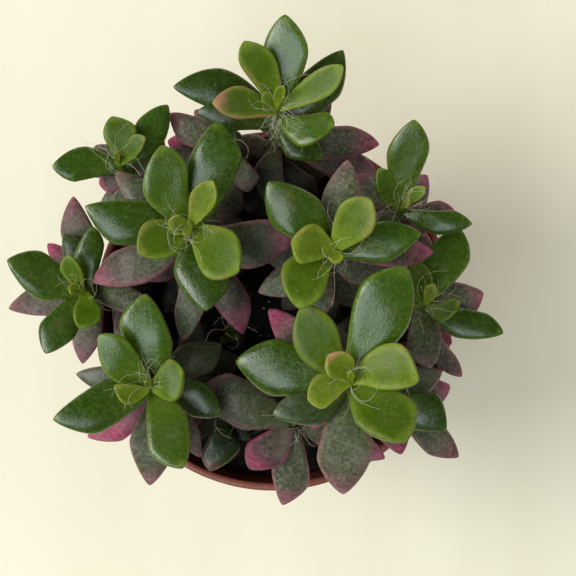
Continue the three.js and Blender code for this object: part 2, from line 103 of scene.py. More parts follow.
# Each leafy stem: its foot on the soil, its growing tip, and its upper leaves from the tip downwards. A leaf
# is azimuth in degrees, reach outwards, rise of its tip above its base, width, age, and for some the sway
# sideways
SHOOTS = {
    "shoot_back": ((1, 33), (1, 41, 97), [
        (65, 3.5, 6, 2.5, 0.05), (137, 4, 6, 3, 0.05), (28, 15.5, 8.5, 6, 0.15, -0.04),
        (118, 14.5, 8.5, 7.2, 0.2), (177, 13.5, 6.5, 7.2, 0.25, -0.05), (85, 19.5, 8.5, 9.5, 0.35, -0.04),
        (-13, 12.5, 5, 7.8, 0.3, -0.14), (165, 23, 5, 9, 0.55, -0.11), (46, 20.5, 4, 9.5, 0.6, -0.08),
        (-40, 12.5, 1, 7.5, 0.52), (171, 18, 2, 7.5, 0.6), (143, 17.5, -1.5, 6.5, 0.85),
        (31, 14, -1, 6.5, 0.85), (-5, 23, -1.5, 8.5, 0.85), (-16, 23.5, -2, 9.5, 0.9),
    ]),
    "shoot_back_left": ((-25.5, 24), (-33.5, 30.5, 88), [
        (88, 2, 4, 1.5, 0), (39, 8, 5.5, 4.2, 0.2), (99, 10.5, 6, 7.5, 0.25, -0.12),
        (54, 17, 6.5, 7.6, 0.4, -0.03), (-179, 15, 4.5, 7.8, 0.45, -0.05), (141, 9, -1, 6.5, 0.85),
        (-161, 7, -2.5, 6.5, 1), (21, 15.5, -1.5, 6.5, 0.9),
    ]),
    "shoot_left_centre": ((-18, 9), (-16.5, 15.5, 103), [
        (-114, 3, 4, 1.5, 0), (-178, 4.5, 5, 4.2, 0.02), (60, 9.5, 6.5, 5.6, 0.05, 0),
        (-150, 12, 6, 8.6, 0.2), (-45, 14, 6.5, 10.5, 0.2, 0), (110, 17, 8, 10, 0.3, 0.1),
        (76, 22.5, 5.5, 11.5, 0.5, -0.05), (168, 22.5, 5, 10.5, 0.5), (-80, 17, 3, 11.2, 0.5, 0),
        (-4, 21.5, 0, 11, 0.75, -0.06), (-156, 24, -2, 9.5, 0.85), (140, 22.5, -1, 8, 0.75),
        (-97, 22, -4, 7.5, 0.9), (-63, 22.5, -4.5, 8.5, 0.9),
    ]),
    "shoot_left": ((-35, 2.5), (-42, 3, 84), [
        (161, 2.5, 3, 3, 0.02), (108, 8, 5, 4.5, 0.15), (-90, 8.5, 4, 6.5, 0.25, 0.15),
        (158, 17.5, 5.5, 10, 0.45), (-121, 16, 4.5, 8, 0.45), (85, 14.5, 4.5, 6.5, 0.45),
        (115, 15, 2, 6.5, 0.65), (-4, 12, 0, 7, 0.8), (-171, 20.5, -2.5, 7.5, 0.9),
        (105, 23.5, -1, 8, 0.85), (137, 18, -4.5, 6, 1), (-108, 16.5, -3.5, 6.5, 0.95),
    ]),
    "shoot_front_left": ((-20, -14), (-26, -18, 92), [
        (102, 1.5, 4, 1.5, 0), (178, 7, 5, 4.5, 0.05, 0.2), (25, 8, 4.5, 8.4, 0.25, -0.1),
        (134, 15, 7, 8.4, 0.3, 0.04), (-68, 18.5, 6, 10, 0.35), (94, 19.5, 6.5, 11, 0.4),
        (-161, 22.5, 5, 10.4, 0.5, 0.03), (-25, 15.5, 1.5, 8, 0.6), (33, 16, 0, 8.5, 0.75),
        (174, 19, -1, 6.5, 0.75), (-97, 23, -1.5, 10, 0.8), (123, 19.5, -2, 7, 0.85),
        (-145, 22.5, -6, 8.5, 1), (-68, 19, -4, 5.5, 0.95), (17, 16.5, -2.5, 8, 0.85),
    ]),
    "shoot_centre_right": ((10, 9), (12.5, 10, 104), [
        (-74, 3, 4, 3, 0), (171, 8.5, 6, 8.4, 0.08, 0), (53, 12, 8, 8.4, 0.1, 0),
        (-121, 14, 6.5, 10.2, 0.2, -0.13), (134, 19, 5.5, 10.8, 0.45, 0), (11, 18.5, 4, 8.6, 0.5, 0),
        (80, 20, 0, 7.5, 0.8), (2, 22, -4, 7, 0.95), (-153, 17, -2.5, 7, 0.9),
    ]),
    "shoot_right_back": ((24.5, 18.5), (28, 20.5, 91), [
        (45, 1.5, 3, 1.5, 0), (42, 6, 4, 3, 0.1), (126, 9.5, 6, 5.2, 0.3), (84, 17.5, 11, 8.6, 0.35, 0.02),
        (-13, 15.5, 3.5, 5.6, 0.5, -0.06), (-139, 7, -1, 7, 0.8),
    ]),
    "shoot_right": ((30, -0.5), (33, 0, 89), [
        (73, 4, 5, 3, 0.03), (-1, 7, 4, 4.5, 0.2, -0.2), (105, 9, 4.5, 6.5, 0.3), (65, 18.5, 2, 10, 0.4),
        (-21, 18, 3.5, 7.2, 0.5), (11, 14, -1.5, 8.5, 0.85), (-81, 14, -2, 8.5, 0.8),
        (-56, 19, -4.5, 5.2, 0.9, -0.08),
    ]),
    "shoot_front_right": ((13, -14), (16, -16.5, 107), [
        (99, 2, 4, 1.5, 0), (134, 7, 5, 6.2, 0.08), (-157, 9.5, 6.5, 6.5, 0.06), (0, 13, 7, 9.8, 0.1, 0.2),
        (-48, 16, 7.5, 11.4, 0.2, 0.03), (64, 25, 7.5, 12.6, 0.4, 0.02), (122, 18, 6.5, 9.8, 0.24, 0.07),
        (171, 23.5, 1, 12, 0.5, 0), (-155, 17, 1, 8, 0.65, 0.12), (-92, 24, -1.5, 11.8, 0.8, 0),
        (138, 22, -5.5, 7.5, 1),
    ]),
    "shoot_low_front": ((3, -24), (4.5, -26, 82), [
        (76, 2, 3, 2, 0.3), (163, 22.5, -0.5, 11.6, 0.8), (-134, 14, 0, 9, 1), (-97, 19, -4, 9, 0.85, 0.05),
        (-22, 22.5, -4.5, 8, 0.95), (-138, 6, 0.5, 6, 0.7),
    ]),
    "shoot_low_right": ((23, -17), (25.5, -21.5, 84), [
        (80, 1.5, 3, 2, 0.4), (-25, 13.5, 2, 9.5, 0.6, 0.1), (28, 14, -0.5, 7.5, 0.75),
        (-38, 20, -1.5, 7.5, 0.8), (12, 15.5, -4.5, 7, 1),
    ]),
    "shoot_low_back": ((-9, 27), (-9, 34.5, 82), [
        (93, 1.5, 3, 2, 0.4), (109, 5.5, 1, 6.5, 0.65), (149, 16.5, -2.5, 7.5, 0.9), (-68, 9, -1, 6.5, 0.9),
        (164, 16, -4.5, 7.5, 1), (127, 15.5, -2.5, 7, 0.85),
    ]),
    "shoot_low_left_front": ((-12, -24), (-13, -24, 70), [
        (62, 2, 3, 2, 0.3), (-96, 13.5, 1.5, 8.4, 0.6, 0.15), (-40, 10, 0.5, 4.5, 0.7),
        (-139, 10, 0, 5.5, 0.8),
    ]),
    "shoot_low_centre": ((-9, -6), (-10, -6, 69), [
        (99, 2, 3, 2.5, 0.1), (-21, 2.5, 2, 2, 0.2), (-138, 3, 2, 2, 0.2),
    ]),
}

# Leaves that stand out by their colour: how mauve the blade is and how pink its tip and edges are, 0 to 1,
# and over 1 where the pink reaches down the whole blade
TINTS = {
    ("shoot_back", 4): (0.15, 0.62),
    ("shoot_back", 13): (0.25, 0.75),
    ("shoot_back", 14): (0.8, 0.3),
    ("shoot_back_left", 6): (0.6, 1.0),
    ("shoot_back_left", 7): (0.1, 0.2),
    ("shoot_left_centre", 9): (0.1, 0.9),
    ("shoot_left_centre", 10): (0.45, 0.7),
    ("shoot_left_centre", 13): (0.5, 1.0),
    ("shoot_left", 10): (0.5, 1.0),
    ("shoot_centre_right", 6): (0.1, 0.3),
    ("shoot_front_left", 12): (0.6, 1.5),
    ("shoot_right", 6): (0.15, 0.35),
    ("shoot_front_right", 1): (0.0, 0.5),
    ("shoot_front_right", 9): (0.1, 0.5),
    ("shoot_front_right", 10): (0.4, 1.0),
    ("shoot_low_front", 1): (0.15, 0.4),
    ("shoot_low_front", 2): (0.8, 1.12),
    ("shoot_low_front", 3): (0.1, 0.7),
    ("shoot_low_left_front", 1): (0.0, 0.5),
    ("shoot_low_right", 4): (0.6, 1.0),
    ("shoot_low_back", 4): (0.6, 1.0),
}

UP = np.array([0.0, 0.0, 1.0])


def mix(a, b, t):
    return a + (b - a) * t


def smooth(low, high, x):
    t = np.clip((x - low) / (high - low), 0, 1)
    return t * t * (3 - 2 * t)


@dataclass
class Leaf:
    azimuth: float
    reach: float
    rise: float
    width: float
    age: float
    sway: float = None
    base: np.ndarray = None
    tint: tuple = None


def stem_point(shoot, t):
    """Points of a stem's line, from its foot at 0 to its tip at 1: it leans, then turns up to the light."""
    foot = np.array([*SHOOTS[shoot][0], FOOT_Z], float)
    tip = np.array(SHOOTS[shoot][1], float)
    turn = foot + np.array([0.6, 0.6, 0.4]) * (tip - foot)
    t = np.atleast_1d(t)[:, None]
    return (1 - t) ** 2 * foot + 2 * (1 - t) * t * turn + t**2 * tip


def stem_length(shoot):
    return math.dist([*SHOOTS[shoot][0], FOOT_Z], SHOOTS[shoot][1])


def variety(leaf, k):
    """No two leaves are alike: a value from -1 to 1 that follows from a leaf's own size."""
    return math.sin((5 + 2 * k) * leaf.reach + 3 * leaf.width + k)


def leaf_frame(leaf, u):
    """The middle line of a leaf at shares u of its length, and the directions across and out of its face."""
    chord = math.hypot(leaf.reach, leaf.rise)
    bend = math.radians(mix(*BEND, leaf.age)) or 0.001
    radius = chord / (2 * math.sin(bend / 2))
    lean = math.atan2(leaf.rise, leaf.reach)
    pitch = lean + bend * (u - 0.5)
    out = radius * (np.sin(pitch) - math.sin(lean - bend / 2))
    up = radius * (math.cos(lean - bend / 2) - np.cos(pitch))
    azimuth = math.radians(leaf.azimuth)
    outward = np.array([math.cos(azimuth), math.sin(azimuth), 0])
    across = np.array([-math.sin(azimuth), math.cos(azimuth), 0])
    upward = -np.sin(pitch)[:, None] * outward + np.cos(pitch)[:, None] * UP
    sway = SWAY * variety(leaf, 1) if leaf.sway is None else leaf.sway
    point = leaf.base + out[:, None] * outward + up[:, None] * UP
    point = point + (4 * u * (1 - u) * sway * chord)[:, None] * across
    roll = (ROLL * u * variety(leaf, 2))[:, None]
    side = np.cos(roll) * across + np.sin(roll) * upward
    normal = np.cos(roll) * upward - np.sin(roll) * across
    return point, side, normal


def maturity(leaf):
    return min(1, leaf.age / MATURE)


def half_width(leaf, u, shift=0.0):
    widest = mix(*WIDEST_AT, maturity(leaf)) + 0.05 * variety(leaf, 3) + shift
    below = np.maximum(1 - u / widest, 0)
    rising = mix(NECK, 1, (1 - below**SHOULDER_POWER) ** NECK_POWER)
    t = np.clip((u - widest) / (1 - widest), 0, 1)
    falling = (1 - t ** mix(*TIP_POWER, maturity(leaf))) ** TIP_BLUNTNESS
    return 0.5 * leaf.width * np.where(u < widest, rising, falling)


def thickness(leaf, u):
    full = THICKNESS_LEAST + THICKNESS_PER_WIDTH * leaf.width
    return full * mix(0.75, 1, np.sin(np.pi * u)) * np.sqrt(np.maximum(1 - u**4, 0))


def cup_of(leaf):
    return mix(*CUP, maturity(leaf))


# Growth: the same rule as the solids follow, so that each fine leaf lies where its solid does

PAD_U = np.array([0.3, 0.42, 0.54, 0.66, 0.78, 0.9, 1])
PAD_ACROSS = np.array([-0.85, -0.45, 0, 0.45, 0.85])
PAD_SINK = 0.08
PAD_THINNING = 0.8
PAD_MARGIN = 0.2
BLADE_FROM = 0.5
OVER_SOIL = 1.3
OVER_RIM = 0.4
RIM_INWARD = 3
RIM_OUTWARD = 2
TURNS = (0, 7, -7, 14, -14)
LIFTS = (0, 1, -1, 2, -2, 3, -3, 4, -4, 5, -5, 6, -6, 7, -7)


def pads_of(leaf):
    """Round pads over a leaf's blade, as centres, radii and shares of its length."""
    point, side, normal = leaf_frame(leaf, PAD_U)
    half = half_width(leaf, PAD_U)[:, None]
    thick = thickness(leaf, PAD_U)[:, None]
    lift = cup_of(leaf) * half * PAD_ACROSS**2 - PAD_SINK * thick
    across = (half * PAD_ACROSS)[..., None] * side[:, None]
    centre = point[:, None] + across + lift[..., None] * normal[:, None]
    radius = 0.5 * thick * np.sqrt(1 - PAD_THINNING * PAD_ACROSS**2) + PAD_MARGIN
    share = np.repeat(PAD_U, len(PAD_ACROSS))
    return centre.reshape(-1, 3), radius.ravel(), share


def over_soil_and_rim(centre, radius):
    from_axis = np.hypot(centre[:, 0], centre[:, 1])
    low = centre[:, 2] - radius
    over_soil = from_axis < RIM_RADIUS - RIM_INWARD
    over_rim = ~over_soil & (from_axis < RIM_RADIUS + RIM_OUTWARD)
    in_soil = over_soil & (low < SOIL_Z + OVER_SOIL)
    in_rim = over_rim & (low < POT_HEIGHT + OVER_RIM)
    return not in_soil.any() and not in_rim.any()


def is_clear(pads, own, others):
    """Whether a leaf's pads are clear of those of its own shoot and of the others."""
    centre, radius, share = pads
    if not over_soil_and_rim(centre, radius):
        return False
    for (other_centre, other_radius, other_share), clearance in ((own, 0), (others, CLEARANCE)):
        apart = ((centre[:, None] - other_centre[None]) ** 2).sum(-1)
        room = radius[:, None] + other_radius[None] + clearance
        near = apart < room**2
        if clearance == 0:
            near &= (share[:, None] >= BLADE_FROM) & (other_share[None] >= BLADE_FROM)
        if near.any():
            return False
    return True


def grow_all():
    """The leaves of each shoot: listed ones from the highest down, then lower ones by the golden angle."""
    listed = []
    lower = []
    for shoot, (_, _, rows) in SHOOTS.items():
        length = stem_length(shoot)

        def base_at(drop):
            return stem_point(shoot, min(1, max(0, 1 - drop / length)))[0]

        for k, row in enumerate(rows):
            leaf = Leaf(*row)
            base = base_at(FIRST_SPACING * k**SPACING_POWER)
            listed.append((shoot, replace(leaf, base=base, tint=TINTS.get((shoot, k)))))
        drop = FIRST_SPACING * len(rows) ** SPACING_POWER + 1
        azimuth = rows[-1][0]
        while length > 20 and base_at(drop)[2] > SOIL_Z + LOWEST_LEAF:
            azimuth += GOLDEN_ANGLE
            lower.append((shoot, Leaf(azimuth=azimuth, base=base_at(drop), **LOWER_LEAF)))
            drop += LOWER_SPACING
    stems = {
        shoot: (stem_point(shoot, np.arange(21) / 20), np.full(21, STEM_FOOT_RADIUS), np.zeros(21))
        for shoot in SHOOTS
    }
    grown = [(shoot, pads) for shoot, pads in stems.items()]
    kept = {shoot: [] for shoot in SHOOTS}
    for group in (listed, lower):
        for shoot, leaf in sorted(group, key=lambda entry: -entry[1].base[2]):
            own = [pads for owner, pads in grown if owner == shoot]
            others = [pads for owner, pads in grown if owner != shoot]
            own = [np.concatenate(part) for part in zip(*own)]
            others = [np.concatenate(part) for part in zip(*others)]
            close = ((others[0] - leaf.base) ** 2).sum(-1) < (leaf.reach + 20) ** 2
            others = [part[close] for part in others]
            settled = settle(leaf, own, others)
            if settled:
                kept[shoot].append(settled)
                grown.append((shoot, pads_of(settled)))
    return kept


def settle(leaf, own, others):
    """The leaf at the nearest angle at which it is clear of those already there."""
    for turn in TURNS:
        for lift in LIFTS:
            tried = replace(leaf, azimuth=leaf.azimuth + turn, rise=leaf.rise + lift)
            if is_clear(pads_of(tried), own, others):
                return tried
    return None


# Meshes


class Skin:
    """Points, faces and values at the points of one mesh that is put together from several closed shells."""

    def __init__(self, *values):
        self.points = []
        self.faces = []
        self.materials = []
        self.values = {name: [] for name in values}
        self.count = 0

    def loft(self, first, rings, last, material=0, **values):
        """A closed skin over rings of equally many points, with a point at each end."""
        number, sides = rings.shape[:2]
        start = self.count + 1
        end = start + number * sides
        self.points += [first[None], rings.reshape(-1, 3), last[None]]
        ring = np.arange(sides)
        following = (ring + 1) % sides
        for k in range(number - 1):
            low = start + k * sides
            high = low + sides
            self.faces += np.stack([low + ring, low + following, high + following, high + ring], 1).tolist()
        self.faces += [[self.count, start + b, start + a] for a, b in zip(ring, following)]
        top = end - sides
        self.faces += [[end, top + a, top + b] for a, b in zip(ring, following)]
        self.materials += [material] * ((number + 1) * sides)
        for name, parts in self.values.items():
            given = np.broadcast_to(values.get(name, 0.0), (number, sides))
            parts.append(np.concatenate([[given[0].mean()], given.ravel(), [given[-1].mean()]]))
        self.count = end + 1

    def add(self, points, faces, material=0):
        """A closed shell of any faces."""
        self.points.append(points)
        self.faces += [[self.count + k for k in face] for face in faces]
        self.materials += [material] * len(faces)
        self.count += len(points)

    def build(self, name, *materials):
        """The mesh object, in metres."""
        mesh = bpy.data.meshes.new(name)
        mesh.from_pydata(np.concatenate(self.points) * MM, [], self.faces)
        for label, parts in self.values.items():
            attribute = mesh.attributes.new(label, "FLOAT", "POINT")
            attribute.data.foreach_set("value", np.concatenate(parts).astype(np.float32))
        for material in materials:
            mesh.materials.append(material)
        mesh.polygons.foreach_set("material_index", self.materials)
        mesh.polygons.foreach_set("use_smooth", [True] * len(mesh.polygons))
        mesh.update()
        thing = bpy.data.objects.new(name, mesh)
        bpy.context.scene.collection.objects.link(thing)
        return thing


# The materials of a leafy stem in their order. New and old leaves have a softer skin than those between
GROWN_SKIN, BARK, SOFT_SKIN = range(3)
NEW_UNTIL = 0.28
OLD_FROM = 0.78

# The fine leaf: rings along it, points round each ring, and how square the section is below and above
LEAF_RINGS = 34
LEAF_SIDES = 28
POWER_BELOW = 2.25
POWER_ABOVE = 3.5

# How uneven a fine leaf is. Pairs are for new and old leaves
RINGS_TO_TIP = 0.55
LOPSIDED = 0.12
RAGGED = 0.02
RAGGED_WITH_AGE = 0.035
SWELL = (0.012, 0.04)
GROOVE = -0.03
GROOVE_WIDTH = 0.3
PINK_FROM = (0.7, 0.52)
PINK_EDGE = 0.7


def leaf_skin(skin, leaf, rng):
    """Adds a leaf: a fleshy blade with a rounded edge, cupped while young, wavy and dented when old."""
    u = np.linspace(0, 1, LEAF_RINGS + 2)[1:-1]
    u = mix(u, np.sin(0.5 * np.pi * u), RINGS_TO_TIP)
    v = np.linspace(0, 2 * np.pi, LEAF_SIDES, endpoint=False)
    point, side, normal = leaf_frame(leaf, u)
    power = np.where(np.sin(v) > 0, POWER_ABOVE, POWER_BELOW)
    cos = np.sign(np.cos(v)) * np.abs(np.cos(v)) ** (2 / power)
    sin = np.sign(np.sin(v)) * np.abs(np.sin(v)) ** (2 / power)
    lopsided = LOPSIDED * variety(leaf, 4)
    left = half_width(leaf, u, lopsided)
    right = half_width(leaf, u, -lopsided)
    phase = [rng.uniform(0, 2 * math.pi) for _ in range(6)]
    ragged = RAGGED + RAGGED_WITH_AGE * leaf.age
    left = left * (1 + ragged * np.sin(9 * u + phase[0]) * u)
    right = right * (1 + ragged * np.sin(8 * u + phase[1]) * u)
    half = np.where(cos[None] > 0, left[:, None], right[:, None])
    across = half * cos[None]
    share = np.where(sin > 0, ABOVE_EDGE, 1 - ABOVE_EDGE)
    deep = share * thickness(leaf, u)[:, None] * sin[None]
    cup = cup_of(leaf) * half * (cos**2)[None]
    # The blade's face isn't even: it waves a little, and is dented along the middle near the base
    size = 0.5 * leaf.width
    wave = np.sin(6.5 * u[:, None] + 1.3 * across / size + phase[2]) * np.sin(2.2 * across / size + phase[3])
    wave += 0.5 * np.sin(14 * u[:, None] + phase[4]) * np.cos(3.5 * across / size + phase[5])
    swell = mix(*SWELL, leaf.age) * leaf.width * wave * np.sin(np.pi * u)[:, None]
    dent = np.exp(-((across / (GROOVE_WIDTH * size)) ** 2))
    groove = GROOVE * leaf.width * dent * smooth(0.7, 0.1, u)[:, None]
    lift = deep + cup + swell + np.where(sin > 0, groove, 0)
    rings = point[:, None] + across[..., None] * side[:, None] + lift[..., None] * normal[:, None]
    ends, _, _ = leaf_frame(leaf, np.array([0.0, 1.0]))
    edge = np.abs(cos)[None] * np.ones_like(across)
    mauve, pink = tint_of(leaf, rng)
    tip = smooth(mix(*PINK_FROM, leaf.age), 1, u)[:, None]
    tip_and_edge = np.maximum(tip, PINK_EDGE * smooth(0.72, 1, edge))
    skin.loft(
        ends[0], rings, ends[1],
        material=GROWN_SKIN if NEW_UNTIL < leaf.age < OLD_FROM else SOFT_SKIN,
        age=np.clip(leaf.age + rng.uniform(-0.03, 0.03), 0, 1),
        along=u[:, None],
        across=cos[None] * np.ones_like(across),
        edge=edge,
        under=smooth(0.15, -0.35, sin)[None],
        mauve=mauve,
        pink=max(0, pink - 1) + min(1, pink) * tip_and_edge,
        shade=rng.uniform(0, 1),
    )


# How far from the pot's axis a leaf's tip has no light and full light, in millimetres
LIT_FROM_AXIS = (20, 34)


def tint_of(leaf, rng):
    """How mauve a leaf's blade is and how pink its tip and edges: old leaves turn so where light reaches."""
    chance = rng.random(), rng.random()
    if leaf.tint is not None:
        return leaf.tint
    azimuth = math.radians(leaf.azimuth)
    tip = leaf.base[:2] + leaf.reach * np.array([math.cos(azimuth), math.sin(azimuth)])
    lit = smooth(*LIT_FROM_AXIS, np.hypot(*tip))
    mauve = float(smooth(0.74, 0.96, leaf.age) * lit) * mix(0.05, 0.75, chance[0])
    pink = float(smooth(0.6, 0.95, leaf.age) * lit) * mix(0.3, 1, chance[1])
    return mauve, pink


# Materials


def srgb(red, green, blue):
    """A colour as seen on a screen, 0 to 255, as the renderer's own."""
    shares = [channel / 255 for channel in (red, green, blue)]
    return (*[c / 12.92 if c <= 0.04045 else ((c + 0.055) / 1.055) ** 2.4 for c in shares], 1)


class Nodes:
    """Short calls for the nodes of one material."""

    def __init__(self, name, roughness):
        self.material = bpy.data.materials.new(name)
        self.material.use_nodes = True
        self.tree = self.material.node_tree
        self.shader = self.tree.nodes["Principled BSDF"]
        self.shader.inputs["Roughness"].default_value = roughness
        self.place = self.node("TexCoord").outputs["Object"]

    def node(self, kind, inputs=(), **settings):
        made = self.tree.nodes.new("ShaderNode" + kind)
        for name, value in settings.items():
            setattr(made, name, value)
        for name, value in dict(inputs).items():
            self.feed(made.inputs[name], value)
        return made

    def feed(self, socket, value):
        if isinstance(value, bpy.types.NodeSocket):
            self.tree.links.new(value, socket)
        else:
            socket.default_value = value

    def value(self, name):
        return self.node("Attribute", attribute_name=name).outputs["Fac"]

    def noise(self, size, detail=2.0, distortion=0.0, place=None):
        """Noise from 0 to 1 with features of about that size in millimetres."""
        inputs = {"Vector": place or self.place, "Scale": 1 / (size * MM), "Detail": detail}
        return self.node("TexNoise", {**inputs, "Distortion": distortion}).outputs["Fac"]

    def cells(self, size, **settings):
        return self.node("TexVoronoi", {"Vector": self.place, "Scale": 1 / (size * MM)}, **settings)

    def stretched(self, x, y, z):
        return self.node("Mapping", {"Vector": self.place, "Scale": (x, y, z)}).outputs["Vector"]

    def math(self, operation, a, b=0.0, clamp=False):
        made = self.node("Math", operation=operation, use_clamp=clamp)
        self.feed(made.inputs[0], a)
        self.feed(made.inputs[1], b)
        return made.outputs[0]

    def between(self, value, low, high, start=0.0, end=1.0):
        """start below low, end above high, and a smooth step between."""
        inputs = {"Value": value, "From Min": low, "From Max": high, "To Min": start, "To Max": end}
        return self.node("MapRange", inputs, interpolation_type="SMOOTHSTEP").outputs["Result"]

    def ramp(self, value, *stops):
        made = self.node("ValToRGB", {"Fac": value})
        elements = made.color_ramp.elements
        for k, (position, colour) in enumerate(stops):
            element = elements[k] if k < 2 else elements.new(position)
            element.position = position
            element.color = srgb(*colour)
        return made.outputs["Color"]

    def mix(self, share, a, b, blend="MIX"):
        made = self.node("Mix", data_type="RGBA", blend_type=blend)
        for index, value in ((0, share), (6, a), (7, b)):
            self.feed(made.inputs[index], value)
        return made.outputs[2]

    def bump(self, *layers):
        """Bumps over each other: each layer is a height from 0 to 1 and how high that stands, in mm."""
        normal = None
        for height, stands in layers:
            made = self.node("Bump", {"Height": height, "Distance": stands * MM})
            if normal:
                self.feed(made.inputs["Normal"], normal)
            normal = made.outputs["Normal"]
        self.feed(self.shader.inputs["Normal"], normal)

    def finish(self, **inputs):
        for name, value in inputs.items():
            self.feed(self.shader.inputs[name.replace("_", " ")], value)
        return self.material


def leaf_material(name, gloss):
    """Lime while new, deep green, then grey, mauve and magenta: margins, tips and undersides turn first."""
    nodes = Nodes(name, 0.4)
    age = nodes.value("age")
    along = nodes.value("along")
    under = nodes.value("under")
    mottle = nodes.noise(2.2, 3.0)
    blotch = nodes.noise(5.5, 1.0)
    uneven = nodes.math("MULTIPLY_ADD", mottle, 0.14)
    uneven.node.inputs[2].default_value = -0.07
    stage = nodes.math("ADD", age, uneven, clamp=True)
    blade = nodes.ramp(
        stage,
        (0.0, (97, 118, 18)),
        (0.12, (71, 95, 12)),
        (0.27, (62, 86, 8)),
        (0.42, (53, 80, 11)),
        (0.56, (41, 62, 11)),
        (0.7, (43, 59, 18)),
        (0.8, (68, 78, 44)),
        (0.9, (88, 94, 70)),
        (1.0, (90, 84, 68)),
    )
    weathered = nodes.ramp(
        nodes.noise(0.6, 6.0),
        (0.36, (56, 60, 42)),
        (0.52, (84, 88, 68)),
        (0.66, (124, 126, 108)),
    )
    blade = nodes.mix(nodes.between(age, 0.62, 0.85, 0.0, 0.55), blade, weathered)
    mauve = nodes.ramp(
        blotch,
        (0.3, (62, 38, 46)),
        (0.5, (94, 62, 72)),
        (0.7, (128, 90, 102)),
    )
    patchy = nodes.math("MULTIPLY_ADD", nodes.noise(1.1, 4.0), 1.2)
    nodes.feed(patchy.node.inputs[2], along)
    mauve_share = nodes.math("MULTIPLY", nodes.value("mauve"), nodes.between(patchy, 0.75, 1.5, 0.15, 1.0))
    colour = nodes.mix(mauve_share, blade, mauve)
    # The lower part of each leaf stays paler. Its rounded margin is paler too: partly its own colour, pink
    # on old leaves, and partly a painted rim highlight
    pale = nodes.ramp(age, (0.0, (118, 137, 36)), (0.45, (78, 106, 14)), (1.0, (76, 78, 40)))
    colour = nodes.mix(nodes.between(along, 0.6, 0.05, 0.0, 0.7), colour, pale)
    margin_colour_and_rim_highlight = nodes.ramp(
        age,
        (0.0, (150, 156, 62)),
        (0.3, (112, 136, 42)),
        (0.6, (66, 92, 26)),
        (0.8, (132, 104, 96)),
        (1.0, (150, 92, 106)),
    )
    flushed = nodes.math("MULTIPLY", nodes.between(blotch, 0.5, 0.7), nodes.between(age, 0.5, 0.2, 0.0, 0.4))
    margin_colour_and_rim_highlight = nodes.mix(flushed, margin_colour_and_rim_highlight, srgb(172, 118, 84))
    # Where the margin colour with its painted rim highlight goes: along the edge and at the tip
    margin = nodes.math("MAXIMUM", nodes.value("edge"), nodes.between(along, 0.8, 1.0, 0.5, 1.0))
    inner = nodes.between(age, 0.05, 0.4, 0.35, 0.72)
    margin = nodes.between(margin, inner, 1.0, 0.0, nodes.between(age, 0.5, 0.8, 0.5, 0.75))
    colour = nodes.mix(margin, colour, margin_colour_and_rim_highlight)
    # Faint veins fan along the blade
    across = nodes.math("MULTIPLY_ADD", mottle, 0.12)
    nodes.feed(across.node.inputs[2], nodes.value("across"))
    vein = nodes.math("PINGPONG", across, 0.17)
    vein = nodes.between(vein, 0.0, 0.05, 1.0, 0.0)
    colour = nodes.mix(nodes.math("MULTIPLY", vein, 0.05), colour, pale)
    # Pink tips and margins, ragged where they meet the green
    pink = nodes.ramp(
        stage,
        (0.0, (190, 128, 104)),
        (0.4, (176, 108, 100)),
        (0.75, (142, 82, 98)),
        (1.0, (158, 68, 98)),
    )
    ragged = nodes.math("MULTIPLY_ADD", blotch, 0.6)
    ragged.node.inputs[2].default_value = -0.3
    blush = nodes.math("ADD", nodes.value("pink"), ragged)
    colour = nodes.mix(nodes.between(blush, 0.05, 0.85, 0.0, 0.95), colour, pink)
    below = nodes.ramp(
        stage,
        (0.0, (124, 136, 50)),
        (0.3, (88, 102, 38)),
        (0.5, (92, 66, 48)),
        (0.7, (112, 50, 70)),
        (1.0, (146, 52, 92)),
    )
    colour = nodes.mix(nodes.math("MULTIPLY", under, 0.9), colour, below)
    # Each leaf is a little lighter or darker than the next, with fine grains in its skin
    shade = nodes.between(nodes.value("shade"), 0.0, 1.0, 0.86, 1.12)
    grain = nodes.noise(0.9, 6.0)
    coarse = nodes.between(age, 0.2, 0.8, 0.22, 0.6)
    grains = nodes.math("MULTIPLY_ADD", nodes.between(grain, 0.32, 0.68, -0.5, 0.5), coarse)
    grains.node.inputs[2].default_value = 1.0
    shade = nodes.math("MULTIPLY", shade, grains)
    # Painted shade: the colour darkens deep down between the stems and towards the soil, where shade falls,
    # and stays full out at the rim
    height = nodes.node("SeparateXYZ", {"Vector": nodes.place}).outputs["Z"]
    away = nodes.node("VectorMath", {0: nodes.stretched(1, 1, 0)}, operation="LENGTH").outputs["Value"]
    deep = nodes.between(away, 0.028, 0.042, nodes.between(height, 0.067, 0.093, 0.12, 1.0), 1.0)
    shade = nodes.math("MULTIPLY", shade, deep)
    shades = {channel: shade for channel in ("Red", "Green", "Blue")}
    colour = nodes.mix(1.0, colour, nodes.node("CombineColor", shades).outputs[0], "MULTIPLY")
    speck = nodes.between(nodes.cells(0.9).outputs["Distance"], 0.05, 0.2, 1.0, 0.0)
    scarce = nodes.between(nodes.noise(1.8, 3.0), 0.48, 0.62)
    aged = nodes.between(age, 0.1, 0.85, 0.45, 0.7)
    speck = nodes.math("MULTIPLY", nodes.math("MULTIPLY", speck, scarce), aged)
    colour = nodes.mix(speck, colour, srgb(158, 164, 138))
